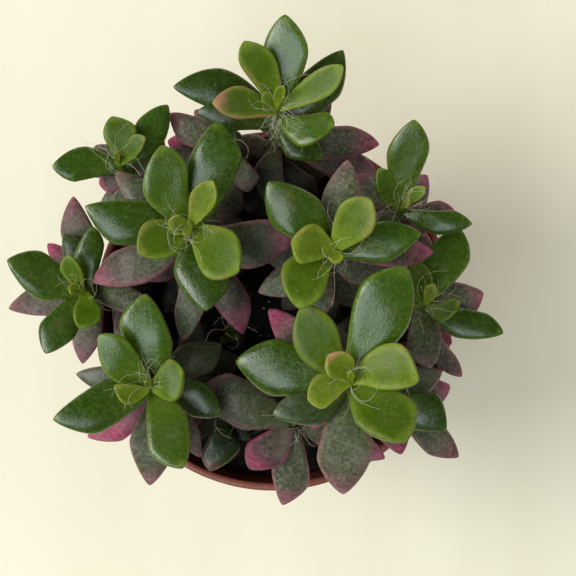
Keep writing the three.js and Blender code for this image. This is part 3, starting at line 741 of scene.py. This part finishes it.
    # A grey film in patches on older leaves: partly a dusty bloom on the skin, partly a painted sheen
    bloom_and_sheen = nodes.math("MULTIPLY", nodes.between(blotch, 0.4, 0.75), nodes.between(age, 0.5, 0.85, 0.02, 0.3))
    colour = nodes.mix(bloom_and_sheen, colour, srgb(116, 118, 104))
    young = nodes.between(age, 0.38, 0.12, 0.0, 0.12)
    dull = nodes.math("ADD", young, nodes.between(age, 0.5, 0.85, 0.0, 0.24))
    roughness = nodes.math("ADD", nodes.between(grain, 0.25, 0.75, 0.22, 0.31), dull)
    nodes.bump(
        (nodes.noise(2.6, 1.0), 0.07),
        (vein, 0.006),
        (nodes.noise(0.4, 2.0), 0.065),
    )
    return nodes.finish(
        Base_Color=colour,
        Roughness=roughness,
        Subsurface_Weight=0.12,
        Subsurface_Radius=(0.7, 1.0, 0.3),
        Subsurface_Scale=1.2 * MM,
        Specular_IOR_Level=gloss,
    )


def stem_material():
    nodes = Nodes("stem_skin", 0.6)
    bark = nodes.noise(1.1, 4.0, place=nodes.stretched(1, 1, 0.35))
    old = nodes.ramp(bark, (0.25, (44, 34, 26)), (0.5, (70, 57, 42)), (0.75, (100, 86, 64)))
    fresh = nodes.ramp(bark, (0.3, (76, 92, 26)), (0.7, (106, 120, 40)))
    colour = nodes.mix(nodes.between(nodes.value("along"), 0.35, 0.9), old, fresh)
    nodes.bump((bark, 0.15), (nodes.noise(0.4, 3.0), 0.04))
    return nodes.finish(Base_Color=colour, Roughness=nodes.between(bark, 0.2, 0.8, 0.7, 0.5))


def hair_material():
    nodes = Nodes("axil_hair", 0.5)
    colour = nodes.ramp(nodes.noise(3.0, 2.0), (0.3, (178, 176, 148)), (0.7, (220, 216, 194)))
    return nodes.finish(Base_Color=colour)


def pot_material():
    """Moulded plastic: a fine skin, faint flow lines round the wall, and a little dust about the rim."""
    nodes = Nodes("pot_plastic", 0.45)
    cloud = nodes.noise(12.0, 2.0, 0.5)
    plain = nodes.ramp(cloud, (0.3, (122, 63, 50)), (0.55, (130, 69, 55)), (0.75, (138, 76, 61)))
    lines = nodes.noise(1.0, 2.0, place=nodes.stretched(0.05, 0.05, 1.6))
    plain = nodes.mix(nodes.between(lines, 0.45, 0.7, 0.0, 0.12), plain, srgb(152, 90, 73))
    height = nodes.node("SeparateXYZ", {"Vector": nodes.place}).outputs["Z"]
    flecks = nodes.noise(0.8, 4.0)
    near_rim = nodes.between(height, 0.05, 0.064, 0.04, 0.3)
    dust = nodes.math("MULTIPLY", nodes.between(flecks, 0.52, 0.68), near_rim)
    colour = nodes.mix(dust, plain, srgb(168, 128, 106))
    soiled = nodes.math("MULTIPLY", nodes.between(nodes.noise(1.3, 5.0), 0.6, 0.7), 0.25)
    colour = nodes.mix(soiled, colour, srgb(70, 46, 36))
    skin = nodes.noise(0.35, 2.0)
    nodes.bump((lines, 0.03), (skin, 0.008))
    dusty = nodes.math("MULTIPLY", dust, 0.5)
    roughness = nodes.math("ADD", nodes.between(skin, 0.3, 0.7, 0.32, 0.4), dusty)
    return nodes.finish(Base_Color=colour, Roughness=roughness)


def peat_material():
    nodes = Nodes("peat", 0.95)
    clods = nodes.noise(1.6, 6.0)
    fibres = nodes.noise(0.5, 4.0, 1.5)
    colour = nodes.ramp(
        clods,
        (0.3, (7, 6, 5)),
        (0.5, (14, 11, 9)),
        (0.62, (24, 19, 16)),
        (0.78, (48, 40, 34)),
    )
    colour = nodes.mix(nodes.between(fibres, 0.62, 0.72, 0.0, 0.4), colour, srgb(74, 63, 52))
    nodes.bump((clods, 0.5), (fibres, 0.15))
    rough = nodes.between(fibres, 0.3, 0.7, 0.98, 0.86)
    return nodes.finish(Base_Color=colour, Roughness=rough, Specular_IOR_Level=0.2)


def grit_material():
    nodes = Nodes("grit", 0.8)
    colour = nodes.ramp(
        nodes.noise(0.7, 3.0),
        (0.3, (96, 92, 84)),
        (0.6, (150, 146, 136)),
        (0.8, (190, 186, 176)),
    )
    nodes.bump((nodes.noise(0.2, 2.0), 0.03))
    return nodes.finish(Base_Color=colour, Roughness=nodes.between(nodes.noise(0.5), 0.3, 0.7, 0.7, 0.9))


def floor_material():
    nodes = Nodes("floor", 0.7)
    grain = nodes.noise(30.0, 3.0, place=nodes.stretched(1, 0.12, 1))
    colour = nodes.ramp(grain, (0.3, (236, 230, 205)), (0.7, (242, 236, 213)))
    return nodes.finish(Base_Color=colour, Roughness=0.7)


# The leafy stems


def add_piece(piece, slot, *nodes):
    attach(piece, "root")
    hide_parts(*nodes)
    return piece


STEM_SIDES = 20
STEM_RINGS_PER_MM = 1.6
STEM_RINGS_LEAST = 8
STEM_RINGS_BURIED = 6
STEM_SHRUNK = 0.97
STEM_TOP = 0.4


def stem_skin(skin, shoot, rng):
    """Adds a stem: a knotty tube from under the soil to its growing tip."""
    sides = STEM_SIDES
    length = stem_length(shoot)
    t = np.linspace(0, 1, max(STEM_RINGS_LEAST, int(STEM_RINGS_PER_MM * length)))
    centre = stem_point(shoot, t)
    radius = mix(STEM_FOOT_RADIUS, STEM_TIP_RADIUS, t) * (1 - 0.5 * smooth(0.86, 1, t))
    buried = centre[0] - np.array([0, 0, STEM_DEPTH + FOOT_Z - SOIL_Z])
    sunk = mix(buried, centre[0], np.linspace(0, 1, STEM_RINGS_BURIED)[:-1, None])
    centre = np.concatenate([sunk, centre])
    radius = np.concatenate([np.full(len(sunk), STEM_FOOT_RADIUS), radius])
    t = np.concatenate([np.zeros(len(sunk)), t])
    angle = np.linspace(0, 2 * np.pi, sides, endpoint=False)
    phase = [rng.uniform(0, 2 * math.pi) for _ in range(3)]
    knots = 1 + 0.04 * np.sin(2.6 * centre[:, 2:] + phase[0] + angle) + 0.03 * np.sin(3 * angle + phase[1])
    knots = knots * radius[:, None] * STEM_SHRUNK
    flat = np.stack([np.cos(angle), np.sin(angle), np.zeros(sides)], 1)
    rings = centre[:, None] + knots[..., None] * flat[None]
    top = centre[-1] + STEM_TOP * UP
    skin.loft(buried, rings, top, material=BARK, along=t[:, None])


GROWN_GLOSS = 0.62
SOFT_GLOSS = 0.2


def make_shoots(kept):
    grown = leaf_material("leaf_skin", GROWN_GLOSS)
    soft = leaf_material("soft_leaf_skin", SOFT_GLOSS)
    bark = stem_material()
    for number, (shoot, leaves) in enumerate(kept.items()):
        rng = random.Random(100 + number)
        skin = Skin("age", "along", "across", "edge", "under", "mauve", "pink", "shade")
        stem_skin(skin, shoot, rng)
        for leaf in leaves:
            leaf_skin(skin, leaf, rng)
        add_piece(skin.build(f"{shoot}_leaves", grown, bark, soft), "leaf_skin", shoot)


# Hairs in the leaf axils


HAIR_RADIUS = 0.045
HAIR_LENGTH = (5, 12)
TUFT_HAIR_RADIUS = 0.8 * HAIR_RADIUS
TUFT_HAIR_LENGTH = (3, 8)
TUFT_HAIRS = 55
TALL_STEM = 28
HAIRS_OF_TALL_STEM = 30
HAIRS_OF_SHORT_STEM = 10


def tube(skin, path, radius, sides=3):
    """Adds a thin tube along a path, closed at both ends."""
    path = np.asarray(path)
    along = np.gradient(path, axis=0)
    along /= np.linalg.norm(along, axis=1)[:, None]
    across = np.cross(along, np.array([0.31, 0.17, 0.93]))
    across /= np.linalg.norm(across, axis=1)[:, None] + 1e-9
    third = np.cross(along, across)
    angle = np.linspace(0, 2 * np.pi, sides, endpoint=False)
    taper = np.linspace(1, 0.5, len(path))[:, None, None] * radius
    rings = path[:, None] + taper * (
        np.cos(angle)[None, :, None] * across[:, None] + np.sin(angle)[None, :, None] * third[:, None]
    )
    skin.loft(path[0] - along[0] * radius, rings, path[-1] + along[-1] * radius)


def curl(start, heading, length, bend, rng, steps=16):
    """The path of a hair that sets out along heading and curls about an axis of its own."""
    axis = Vector([rng.gauss(0, 1) for _ in range(3)]).normalized()
    heading = Vector(heading).normalized()
    points = [Vector(start)]
    for _ in range(steps):
        points.append(points[-1] + heading * (length / steps))
        turn = bend * length / steps
        stray = Vector([rng.gauss(0, 0.1) for _ in range(3)])
        heading = (heading + axis.cross(heading) * turn + stray).normalized()
    return [tuple(point) for point in points]


def make_hairs(kept):
    rng = random.Random(7)
    skin = Skin()
    for shoot, leaves in kept.items():
        for _ in range(HAIRS_OF_TALL_STEM if stem_length(shoot) > TALL_STEM else HAIRS_OF_SHORT_STEM):
            leaf = leaves[min(len(leaves) - 1, int(rng.triangular(0, 0.7 * len(leaves), 0)))]
            azimuth = math.radians(leaf.azimuth + rng.uniform(-75, 75))
            out = np.array([math.cos(azimuth), math.sin(azimuth), 0])
            start = leaf.base + out * rng.uniform(0.9, 1.6) + UP * rng.uniform(0.6, 2.2)
            heading = out * rng.uniform(0.3, 1.0) + UP * rng.uniform(0.3, 1.1)
            length = rng.uniform(*HAIR_LENGTH)
            tube(skin, curl(start, heading, length, rng.uniform(0.15, 0.6), rng), HAIR_RADIUS)
    # The tallest shoot at the back has a tuft of curly hairs on the side of its stem that faces the viewer
    for _ in range(TUFT_HAIRS):
        base = stem_point("shoot_back", rng.uniform(0.72, 1))[0]
        azimuth = math.radians(rng.gauss(-95, 45))
        out = np.array([math.cos(azimuth), math.sin(azimuth), 0])
        start = base + out * STEM_TIP_RADIUS
        heading = out + UP * rng.uniform(-0.2, 1.0)
        length = rng.uniform(*TUFT_HAIR_LENGTH)
        tube(skin, curl(start, heading, length, rng.uniform(0.5, 1.1), rng), TUFT_HAIR_RADIUS)
    piece = skin.build("axil_hairs", hair_material())
    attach(piece, "root")


# The pot


def inner_radius(z):
    """The inner face's radius at a height."""
    under_collar = RIM_RADIUS - COLLAR_STEP - 2 * WALL
    in_lip = RIM_RADIUS - LIP
    if z > COLLAR_Z:
        return mix(in_lip - 0.9, in_lip, (z - COLLAR_Z) / COLLAR_HEIGHT)
    return mix(BASE_RADIUS - WALL, under_collar, z / COLLAR_Z)


def rounded(corners, steps=5):
    """A profile with its corners rounded. A corner is a radius, a height and how far its rounding goes."""
    line = []
    for k, (r, z, reach) in enumerate(corners):
        here = np.array([r, z], float)
        if reach == 0:
            line.append(here)
            continue
        before = np.array(corners[k - 1][:2], float) - here
        after = np.array(corners[k + 1][:2], float) - here
        start = here + before / np.linalg.norm(before) * reach
        end = here + after / np.linalg.norm(after) * reach
        for t in np.linspace(0, 1, steps + 1):
            line.append((1 - t) ** 2 * start + 2 * (1 - t) * t * here + t**2 * end)
    return np.array(line)


POT_SIDES = 200
BASE_RECESS = 0.3
OUT_OF_ROUND = 0.0016
DRILL_SIDES = 40
DRILL_LENGTH = 6
SHARP_FROM = math.radians(50)


def make_pot():
    corners = [
        (20, BASE_RECESS, 0.0),
        (22, BASE_RECESS, 0.3),
        (22.5, 0, 0.2),
        (BASE_RADIUS - 0.4, 0, 0.9),
        (BASE_RADIUS + 0.1, 1.2, 0.6),
        (inner_radius(20) + WALL, 20, 0.0),
        (inner_radius(40) + WALL, 40, 0.0),
        (inner_radius(COLLAR_Z) + WALL, COLLAR_Z - 0.5, 0.5),
        (RIM_RADIUS - 0.95, COLLAR_Z, 0.45),
        (RIM_RADIUS - 0.7, COLLAR_Z + 1.3, 0.5),
        (RIM_RADIUS - 0.95, COLLAR_Z + 1.6, 0.2),
        (RIM_RADIUS - 0.35, POT_HEIGHT - 2.6, 0.5),
        (RIM_RADIUS, POT_HEIGHT - 2.0, 0.4),
        (RIM_RADIUS, POT_HEIGHT, 0.85),
        (RIM_RADIUS - LIP, POT_HEIGHT, 0.7),
        (RIM_RADIUS - LIP - 0.1, POT_HEIGHT - 2.2, 0.6),
        (inner_radius(COLLAR_Z + WALL), COLLAR_Z + WALL, 0.6),
        (inner_radius(COLLAR_Z - 0.5), COLLAR_Z - 0.5, 0.6),
        (inner_radius(30), 30, 0.0),
        (inner_radius(FLOOR), FLOOR, 1.2),
        (12, FLOOR, 0.0),
    ]
    line = rounded(corners)
    angle = np.linspace(0, 2 * np.pi, POT_SIDES, endpoint=False)
    # Thin plastic is never quite round
    shrink = 1 - OUT_OF_ROUND * (1 + np.cos(2 * angle + 0.8)) * (line[:, 1:] / POT_HEIGHT)
    radius = line[:, :1] * shrink
    height = np.broadcast_to(line[:, 1:], radius.shape)
    rings = np.stack([radius * np.cos(angle), radius * np.sin(angle), height], -1)
    skin = Skin()
    skin.loft(np.array([0, 0, BASE_RECESS]), rings, np.array([0, 0, FLOOR]))
    pot = skin.build("nursery_pot", pot_material())
    drill = bmesh.new()
    for k in range(DRAIN_HOLES):
        turn = 2 * math.pi * k / DRAIN_HOLES
        made = bmesh.ops.create_cone(
            drill,
            cap_ends=True,
            segments=DRILL_SIDES,
            radius1=DRAIN_RADIUS * MM,
            radius2=DRAIN_RADIUS * MM,
            depth=DRILL_LENGTH * MM,
        )
        where = Vector((DRAIN_CIRCLE * math.cos(turn), DRAIN_CIRCLE * math.sin(turn), 0)) * MM
        bmesh.ops.translate(drill, verts=made["verts"], vec=where)
    drill_mesh = bpy.data.meshes.new("drill")
    drill.to_mesh(drill_mesh)
    drill.free()
    drill_object = bpy.data.objects.new("drill", drill_mesh)
    bpy.context.scene.collection.objects.link(drill_object)
    cut = pot.modifiers.new("drain", "BOOLEAN")
    cut.operation = "DIFFERENCE"
    cut.solver = "EXACT"
    cut.object = drill_object
    bpy.context.view_layer.update()
    drilled = bpy.data.meshes.new_from_object(pot.evaluated_get(bpy.context.evaluated_depsgraph_get()))
    pot.modifiers.remove(cut)
    pot.data = drilled
    bpy.data.objects.remove(drill_object)
    pot.data.set_sharp_from_angle(angle=SHARP_FROM)
    add_piece(pot, "pot_plastic", "pot")


# The soil


SOIL_SIDES = 250
SOIL_RINGS = 112
SOIL_CENTRE = 0.4


def soil_height(x, y):
    """How high the soil lies: the solid's own relief, with clods and crumbs on it."""
    low = math.sin(0.55 * x + 1) * math.cos(0.48 * y) + 0.6 * math.sin(1.1 * x - 0.9 * y)
    place = Vector((x, y, 0))
    near = noise.voronoi(place * 0.75)[0][0]
    clods = 0.35 - 0.9 * near**2
    crumbs = 0.22 * noise.fractal(place * 1.6, 0.7, 2.1, 4)
    return SOIL_Z + min(1.0, SOIL_RELIEF * low * 0.8 + 0.5 * clods + crumbs)


def make_soil():
    angle = np.linspace(0, 2 * np.pi, SOIL_SIDES, endpoint=False)
    bottom = FLOOR + GAP
    edge = inner_radius(SOIL_Z) - SOIL_TO_WALL
    profile = [
        (15, bottom),
        (inner_radius(bottom) - SOIL_TO_WALL - 1.2, bottom),
        (inner_radius(bottom + 1) - SOIL_TO_WALL, bottom + 1),
        (inner_radius(COLLAR_Z - 2 * GAP) - SOIL_TO_WALL, COLLAR_Z - 2 * GAP),
        (inner_radius(COLLAR_Z + WALL) - SOIL_TO_WALL, COLLAR_Z + WALL + 2 * GAP),
        (edge, SOIL_Z - 1.2),
    ]
    rings = [np.stack([r * np.cos(angle), r * np.sin(angle), np.full(SOIL_SIDES, z)], 1) for r, z in profile]
    for r in np.linspace(edge - 0.25, SOIL_CENTRE, SOIL_RINGS):
        drop = 0.7 * float(smooth(edge - 1.6, edge, r))
        places = [(r * math.cos(a), r * math.sin(a)) for a in angle]
        rings.append(np.array([(x, y, soil_height(x, y) - drop) for x, y in places]))
    skin = Skin()
    skin.loft(np.array([0, 0, bottom]), np.array(rings), np.array([0, 0, soil_height(0, 0)]))
    add_piece(skin.build("peat_soil", peat_material()), "peat", "soil")


# Loose pieces: how many, their sizes in millimetres, and how far from the axis they lie at most
CRUMBS = 520
CRUMB_SIZES = (0.25, 0.65)
GRITS = 150
GRIT_SIZES = (0.12, 0.3)
FIBRES = 70
FIBRE_STEPS = 9
FIBRE_STEP = 0.55
FIBRE_RADIUS = 0.1
FIBRE_REACH = 37
CRUMB_REACH = 38.6


def make_crumbs():
    """Loose crumbs and fibres of peat, and pale grit, that lie on the soil."""
    rng = random.Random(21)
    ball = bmesh.new()
    bmesh.ops.create_icosphere(ball, subdivisions=2, radius=1)
    unit = np.array([vertex.co for vertex in ball.verts])
    triangles = [[vertex.index for vertex in face.verts] for face in ball.faces]
    ball.free()
    kinds = (
        ("peat_crumbs", peat_material(), CRUMBS, CRUMB_SIZES),
        ("grit", grit_material(), GRITS, GRIT_SIZES),
    )
    for name, material, number, sizes in kinds:
        skin = Skin()
        for _ in range(number):
            away = CRUMB_REACH * math.sqrt(rng.random())
            turn = rng.uniform(0, 2 * math.pi)
            x, y = away * math.cos(turn), away * math.sin(turn)
            size = rng.uniform(*sizes)
            lump = unit * np.array([rng.uniform(0.7, 1.2), rng.uniform(0.7, 1.2), rng.uniform(0.5, 0.8)])
            jag = np.array([noise.noise(Vector(p) * 1.4 + Vector((x, y, 0))) for p in unit])
            lump = lump * (1 + 0.55 * jag[:, None]) * size
            skin.add(lump + np.array([x, y, soil_height(x, y) + 0.2 * size]), triangles)
        if name == "peat_crumbs":
            for _ in range(FIBRES):
                away = FIBRE_REACH * math.sqrt(rng.random())
                turn = rng.uniform(0, 2 * math.pi)
                heading = rng.uniform(0, 2 * math.pi)
                path = []
                x, y = away * math.cos(turn), away * math.sin(turn)
                for _ in range(FIBRE_STEPS):
                    path.append((x, y, soil_height(x, y) + 0.18))
                    heading += rng.gauss(0, 0.25)
                    x += FIBRE_STEP * math.cos(heading)
                    y += FIBRE_STEP * math.sin(heading)
                tube(skin, path, FIBRE_RADIUS, sides=5)
        piece = skin.build(name, material)
        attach(piece, "root")


# What isn't the plant: the floor, the lights and the camera


# How far the floor goes each way, in metres
FLOOR_REACH = 6


def make_stage():
    floor_mesh = bpy.data.meshes.new("floor")
    corners = [(FLOOR_REACH * x, FLOOR_REACH * y, 0) for x, y in ((-1, -1), (1, -1), (1, 1), (-1, 1))]
    floor_mesh.from_pydata(corners, [], [(0, 1, 2, 3)])
    floor_mesh.materials.append(floor_material())
    floor = bpy.data.objects.new("floor", floor_mesh)
    bpy.context.scene.collection.objects.link(floor)


# Every light stands this far from the plant, in metres, and faces a point this high
LIGHT_AWAY = 1.4
LIGHT_TARGET_Z = 0.07

# The lights that show in the sheens: name, azimuth, elevation, size, power and colour
SHEEN_LIGHTS = (
    ("key", 181, 44, 0.7, 14.2, (1.0, 1.0, 0.98)),
    ("window", 236, 57, 0.75, 7.5, (0.84, 0.97, 1.0)),
)

# A ring of weaker lights round the plant: azimuth, elevation and power
FILL_LIGHTS = ((140, 38, 4.7), (0, 45, 3.9), (310, 45, 2.3), (60, 45, 2.3))
FILL_SIZE = 0.9
FILL_COLOUR = (1.0, 0.99, 0.97)
SKY_COLOUR = (0.93, 0.96, 1.0, 1)
SKY_STRENGTH = 0.03


def make_light(name, azimuth, elevation, size, power, colour):
    """A square soft light that faces the plant, placed by its direction from there."""
    light = bpy.data.lights.new(name, "AREA")
    light.size = size
    light.energy = power
    light.color = colour
    lamp = bpy.data.objects.new(name, light)
    turn, lift = math.radians(azimuth), math.radians(elevation)
    back = Vector((math.cos(turn) * math.cos(lift), math.sin(turn) * math.cos(lift), math.sin(lift)))
    lamp.location = Vector((0, 0, LIGHT_TARGET_Z)) + back * LIGHT_AWAY
    lamp.rotation_mode = "QUATERNION"
    lamp.rotation_quaternion = back.to_track_quat("Z", "Y")
    bpy.context.scene.collection.objects.link(lamp)
    return lamp


def make_lights():
    for light in SHEEN_LIGHTS:
        make_light(*light)
    for azimuth, elevation, power in FILL_LIGHTS:
        fill = make_light(f"fill_{azimuth}", azimuth, elevation, FILL_SIZE, power, FILL_COLOUR)
        fill.visible_glossy = False
    world = bpy.data.worlds.new("soft")
    world.use_nodes = True
    world.node_tree.nodes["Background"].inputs["Color"].default_value = SKY_COLOUR
    world.node_tree.nodes["Background"].inputs["Strength"].default_value = SKY_STRENGTH
    bpy.context.scene.world = world
    bpy.context.scene.view_settings.view_transform = "Standard"


def make_camera():
    camera = bpy.data.cameras.new("camera")
    camera.sensor_width = SENSOR_WIDTH
    camera.lens = SENSOR_WIDTH * CAMERA_DISTANCE / PIXEL_AT_RIM / FRAME_PIXELS
    camera.clip_start = 0.01
    holder = bpy.data.objects.new("camera", camera)
    back = Vector((0, -math.sin(CAMERA_TILT), math.cos(CAMERA_TILT)))
    holder.location = (CAMERA_AIM + back * CAMERA_DISTANCE) * MM
    holder.rotation_euler = (CAMERA_TILT, 0, 0)
    bpy.context.scene.collection.objects.link(holder)
    bpy.context.scene.camera = holder


make_camera()
make_lights()
make_stage()
kept_leaves = grow_all()
make_shoots(kept_leaves)
make_hairs(kept_leaves)
make_pot()
make_soil()
make_crumbs()
